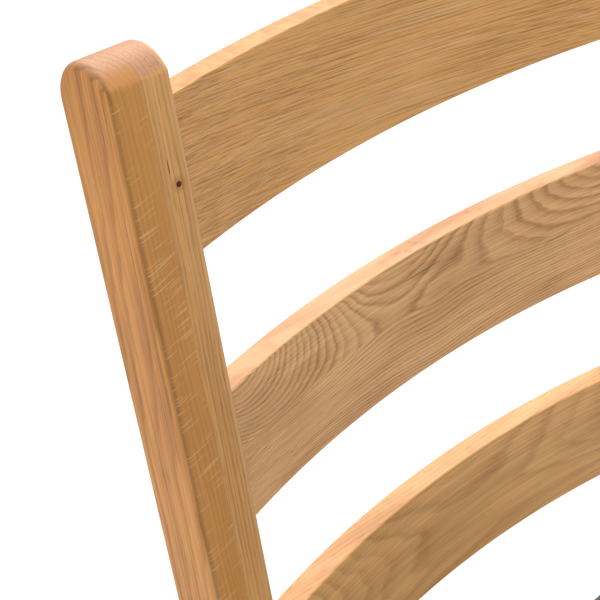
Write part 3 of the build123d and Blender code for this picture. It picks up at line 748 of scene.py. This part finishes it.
def dust_cover():
    """The black cloth under the seat: taut at its stapled edge, with a small sag between."""
    low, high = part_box("seat_dust_cover")
    middle_y, half_y = (low.y + high.y) / 2, (high.y - low.y) / 2
    mesh = bmesh.new()
    grid = []
    for i in range(CLOTH_STEPS + 1):
        row = []
        for j in range(CLOTH_STEPS + 1):
            u, v = 2 * i / CLOTH_STEPS - 1, 2 * j / CLOTH_STEPS - 1
            x, y = high.x * u, middle_y + half_y * v
            hang = (1 - u ** 4) * (1 - v ** 4)
            pucker = noise.noise(Vector((x * 45, y * 45, 3.0))) * CLOTH_PUCKER
            row.append(mesh.verts.new((x, y, high.z - CLOTH_DROP - (CLOTH_SAG + pucker) * hang)))
        grid.append(row)
    for i in range(CLOTH_STEPS):
        for j in range(CLOTH_STEPS):
            mesh.faces.new((grid[i][j], grid[i + 1][j], grid[i + 1][j + 1], grid[i][j + 1]))
    cloth = new_piece("dust_cover", mesh)
    thick = cloth.modifiers.new("thickness", "SOLIDIFY")
    thick.thickness = high.z - low.z
    thick.offset = 0
    evaluated(cloth)
    return cloth


def black_cloth():
    """Black spun-bonded cloth: pressed dots over tangled fibres."""
    g = Graph("dust_cloth")
    q = g.place()
    tangle = g.noise(q, (0.4, 0.4, 0.4), 4.0, 0.7)
    dots = g.add("TexVoronoi", {"Vector": q, "Scale": 0.6, "Randomness": 0.15}).outputs[0]
    dent = g.span(dots, 0.15, 0.35)
    color = g.mix(tangle, srgb(20, 20, 21), srgb(46, 46, 48))
    color = g.mix(g.times(dent, 0.3), srgb(24, 24, 25), color)
    height = g.plus(g.times(tangle, 0.5), dent)
    return g.finish(color, g.span(tangle, 0.3, 0.7, 0.8, 0.95), g.bump(height, 0.15 * MM))


def build_seat():
    """The leather pad and the cloth under it."""
    pad = seat_pad()
    settle(pad, leather(), "seat_leather", "seat_cover", "seat_foam")
    settle(dust_cover(), black_cloth(), "dust_cloth", "seat_dust_cover")


# ---- Finishes for the CAD pieces that stay ---------------------------------------------------
def plywood():
    """Birch plywood: thin plies laid crosswise, which show as bands on its edges."""
    g = Graph("plywood")
    q = g.place()
    _, _, z = g.split(q)
    ply = g.math("PINGPONG", z, 1.5)
    face = g.facing((0, 0, 1))
    grain = g.noise(q, (2.0, 60, 2.0), 3.0, 0.6)
    tone = g.plus(g.times(grain, 0.5), g.times(g.span(ply, 0.4, 1.1), g.math("SUBTRACT", 1.0, face)))
    color = g.mix(tone, PALE_WOOD[0], PALE_WOOD[1])
    return g.finish(color, g.span(grain, 0.3, 0.7, 0.55, 0.7), g.bump(grain, 0.05 * MM))


def steel():
    """Zinc-plated steel: fine turning marks and dull spots."""
    g = Graph("zinc_steel")
    q = g.place()
    marks = g.noise(q, (0.08, 0.8, 0.8), 3.0, 0.6)
    spots = g.noise(q, (3, 3, 3), 3.0, 0.6, shift=6.0)
    color = g.mix(spots, (0.52, 0.53, 0.54), (0.66, 0.66, 0.64))
    rough = g.plus(g.span(marks, 0.3, 0.7, 0.28, 0.4), g.span(spots, 0.55, 0.75, 0.0, 0.15))
    return g.finish(color, rough, g.bump(marks, 0.02 * MM), Metallic=1.0)


def plastic():
    """Moulded nylon with scuffs from the floor."""
    g = Graph("glide_nylon")
    q = g.place()
    texture = g.noise(q, (0.35, 0.35, 0.35), 2.0)
    scuffs = g.span(g.noise(q, (6, 0.5, 0.5), 3.0, 0.6, shift=2.0), 0.55, 0.7)
    color = g.mix(g.times(scuffs, 0.5), srgb(206, 198, 180), srgb(140, 130, 112))
    rough = g.plus(g.span(texture, 0.3, 0.7, 0.42, 0.5), g.times(scuffs, 0.2))
    return g.finish(color, rough, g.bump(texture, 0.03 * MM))


def dress(node, material):
    """Puts a material in every slot of a CAD piece."""
    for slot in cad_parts[node].material_slots:
        slot.material = material


def finish_cad_pieces():
    """A material for every CAD piece that stays."""
    steel_finish, nylon, board = steel(), plastic(), plywood()
    right, rearward, upright = Vector((1, 0, 0)), Vector((0, 1, 0)), Vector((0, 0, 1))
    boards = {
        "front_leg_left": (upright, right), "front_leg_right": (upright, right),
        "front_rail": (right, rearward), "rear_rail": (right, rearward),
        "side_rail_left": (rearward, right), "side_rail_right": (rearward, right),
        "side_stretcher_left": (rearward, right), "side_stretcher_right": (rearward, right),
        "cross_stretcher": (right, rearward),
    }
    for i, (node, (along, across)) in enumerate(boards.items()):
        low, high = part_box(node)
        rings = round_pith(-70 + 23 * (i % 4), 40 + 31 * (i % 3), 0.012 - 0.006 * (i % 5))
        finish = wood("oak_" + node, (low + high) / 2, along, across, rings, width=2.3 + 0.2 * (i % 3),
                      wander=1.6, seed=20.0 + 3.7 * i)
        dress(node, finish)
    pale = {"tones": PALE_WOOD, "contrast": 0.5, "fibre": 0.6, "width": 3.0}
    block_finish = wood("block_wood", (0, 0, 0), right, rearward, round_pith(-90, 60), seed=60.0, **pale)
    dowel_finish = wood("dowel_wood", (0, 0, 0), right, rearward, round_pith(-50, 20), seed=66.0, **pale)
    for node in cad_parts:
        if node.startswith("corner_block_") and node != "corner_block_screws":
            dress(node, block_finish)
        elif node.startswith("glide_") and node != "glide_nails":
            dress(node, nylon)
        elif node in ("corner_block_screws", "seat_screws", "seat_staples", "glide_nails"):
            dress(node, steel_finish)
    dress("rail_dowels", dowel_finish)
    dress("seat_plywood", board)


# ---- Stage, light and camera -----------------------------------------------------------------
# The camera's place, turn and lens were fitted to the outlines in the photo.
CAMERA_AT = Vector((-0.55324, -0.23512, 1.26815))
CAMERA_DIP = radians(35.905)        # below the horizon
CAMERA_TURN = radians(43.867)       # from straight behind the chair towards its right
CAMERA_LENS = 87.42                 # on a 36 mm wide sensor
WORLD_LIGHT = 0.35
LIGHTS = (                          # name, place, side of its square, watts
    ("key", (1.2, 1.9, 3.0), 2.4, 112),
    ("left", (-2.6, 0.3, 1.6), 1.8, 15),
    ("top", (-0.2, -0.6, 3.4), 2.5, 50),
)


def make_camera():
    camera = bpy.data.objects.new("camera", bpy.data.cameras.new("camera"))
    camera.data.sensor_width = 36
    camera.data.lens = CAMERA_LENS
    camera.data.clip_start = 0.01
    camera.location = CAMERA_AT
    camera.rotation_euler = Euler((pi / 2 - CAMERA_DIP, 0, -CAMERA_TURN))
    bpy.context.scene.collection.objects.link(camera)
    bpy.context.scene.camera = camera


def softbox(name, position, target, side, power):
    light = bpy.data.lights.new(name, "AREA")
    light.shape = "SQUARE"
    light.size = side
    light.energy = power
    lamp = bpy.data.objects.new(name, light)
    lamp.location = position
    lamp.rotation_euler = (Vector(target) - Vector(position)).to_track_quat("-Z", "Y").to_euler()
    bpy.context.scene.collection.objects.link(lamp)


def make_world(strength):
    world = bpy.data.worlds.new("studio")
    bpy.context.scene.world = world
    world.use_nodes = True
    background = world.node_tree.nodes["Background"]
    background.inputs[0].default_value = (1, 1, 1, 1)
    background.inputs[1].default_value = strength


def make_floor():
    g = Graph("studio_floor")
    q = g.place()
    tone = g.span(g.noise(q, (900, 900, 900), 1.0), 0.3, 0.7, 0.0, 1.0)
    color = g.mix(tone, (0.86, 0.86, 0.86), (0.88, 0.88, 0.88))
    material = g.finish(color, 0.9, g.bump(tone, 0.1 * MM), Specular_IOR_Level=0.0)
    mesh = bmesh.new()
    bmesh.ops.create_grid(mesh, x_segments=2, y_segments=2, size=12.0)
    floor = new_piece("studio_floor", mesh)
    floor.data.materials.append(material)


def make_studio():
    crown = (0, datum_y, datum_z)
    make_camera()
    make_floor()
    make_world(WORLD_LIGHT)
    for name, place, side, power in LIGHTS:
        softbox(name, place, crown, side, power)
    bpy.context.scene.view_settings.view_transform = "Standard"


make_studio()
build_back()
build_seat()
finish_cad_pieces()
